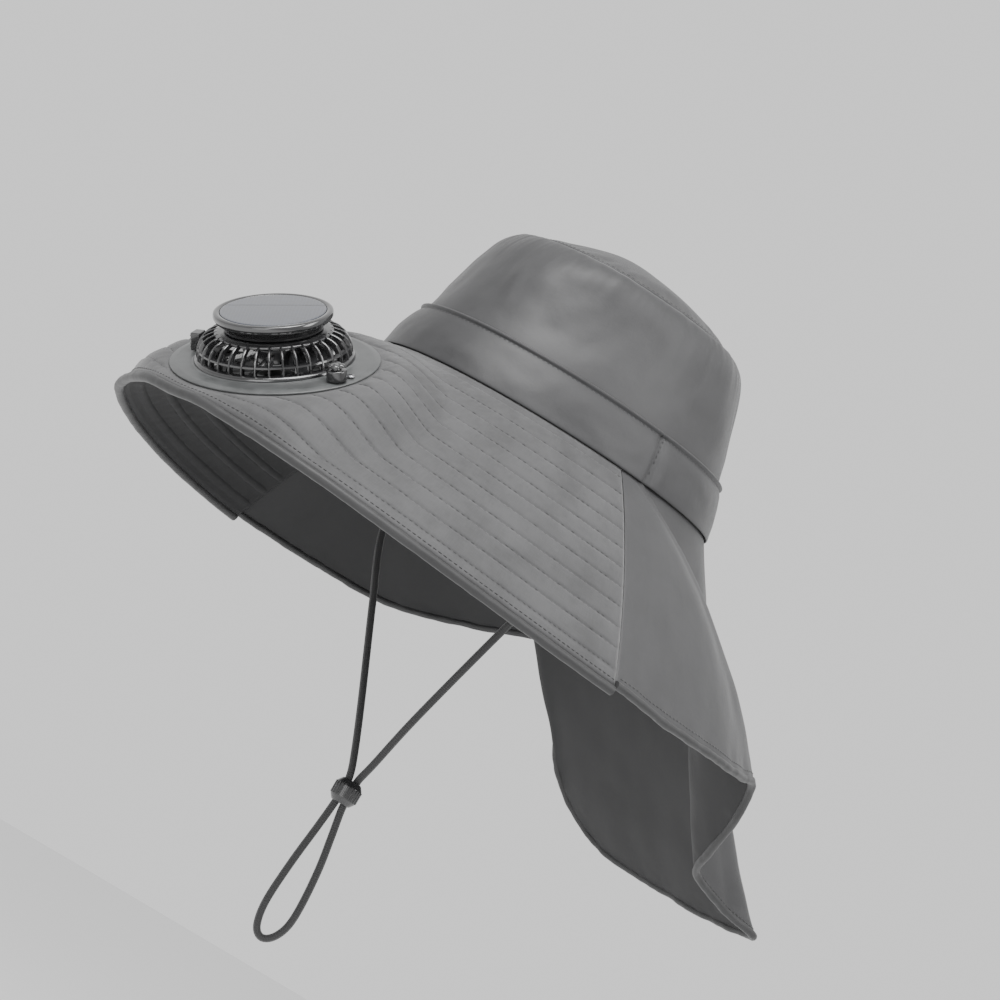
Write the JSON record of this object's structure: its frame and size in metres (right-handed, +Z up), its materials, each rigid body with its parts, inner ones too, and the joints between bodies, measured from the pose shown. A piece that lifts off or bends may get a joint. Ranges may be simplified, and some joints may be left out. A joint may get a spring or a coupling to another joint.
{
  "type": "solar fan hat",
  "caption": "Wide-brimmed sun hat with a soft neck flap, a chin cord with a lock, and a solar-powered fan on the front brim.",
  "frame": {"origin": "centre of the head opening, level with the foot of the crown", "axes": "+Z up along the head, -Y to the front where the fan is, +X to the wearer's left"},
  "size_m": [0.3323, 0.4708, 0.3957],
  "materials": {
    "crown_cloth": "smooth black nylon, soft sheen",
    "band_cloth": "smooth black nylon, soft sheen",
    "brim_cloth": "fine matte black weave, stitched in rows",
    "binding_cloth": "matte black tape",
    "cape_cloth": "soft black nylon",
    "plate_plastic": "satin dark grey",
    "cage_plastic": "glossy black",
    "bezel_plastic": "glossy black",
    "button_plastic": "glossy black",
    "rotor_plastic": "black",
    "guard_plastic": "black",
    "cell_face": "dark blue-grey cell under a clear face",
    "motor_metal": "plain can",
    "screw_steel": "darkened",
    "tab_cloth": "matte black tape",
    "cord_fibre": "braided matte black",
    "lock_plastic": "black"
  },
  "bodies": {
    "hat": {"crown_tip": "crown_cloth", "crown_wall": "crown_cloth", "hat_band": "band_cloth", "brim": "brim_cloth", "brim_binding": "binding_cloth", "neck_cape": "cape_cloth", "fan_plate": "plate_plastic", "fan_cage": "cage_plastic", "motor": "motor_metal", "inner_guard": "guard_plastic", "panel_neck": "cage_plastic", "panel_bezel": "bezel_plastic", "solar_cell": "cell_face", "button_boss": "cage_plastic", "plate_screw_left": "screw_steel", "plate_screw_right": "screw_steel", "socket_block": "cage_plastic", "cord_tab_left": "tab_cloth", "cord_tab_right": "tab_cloth", "chin_cord": "cord_fibre", "cord_lock": "lock_plastic"},
    "rotor": {"fan_rotor": "rotor_plastic"},
    "button": {"power_button": "button_plastic"}
  },
  "joints": [
    {"name": "rotor_spin", "type": "hinge", "parent": "hat", "child": "rotor", "pos_m": [0, -0.17381, -0.04535], "axis": [0, -0.6428, 0.766], "continuous": true},
    {"name": "button_press", "type": "slide", "parent": "hat", "child": "button", "axis": [0, 0.6428, -0.766], "range_m": [0, 0.0008], "stiffness_N_per_m": 200}
  ]
}
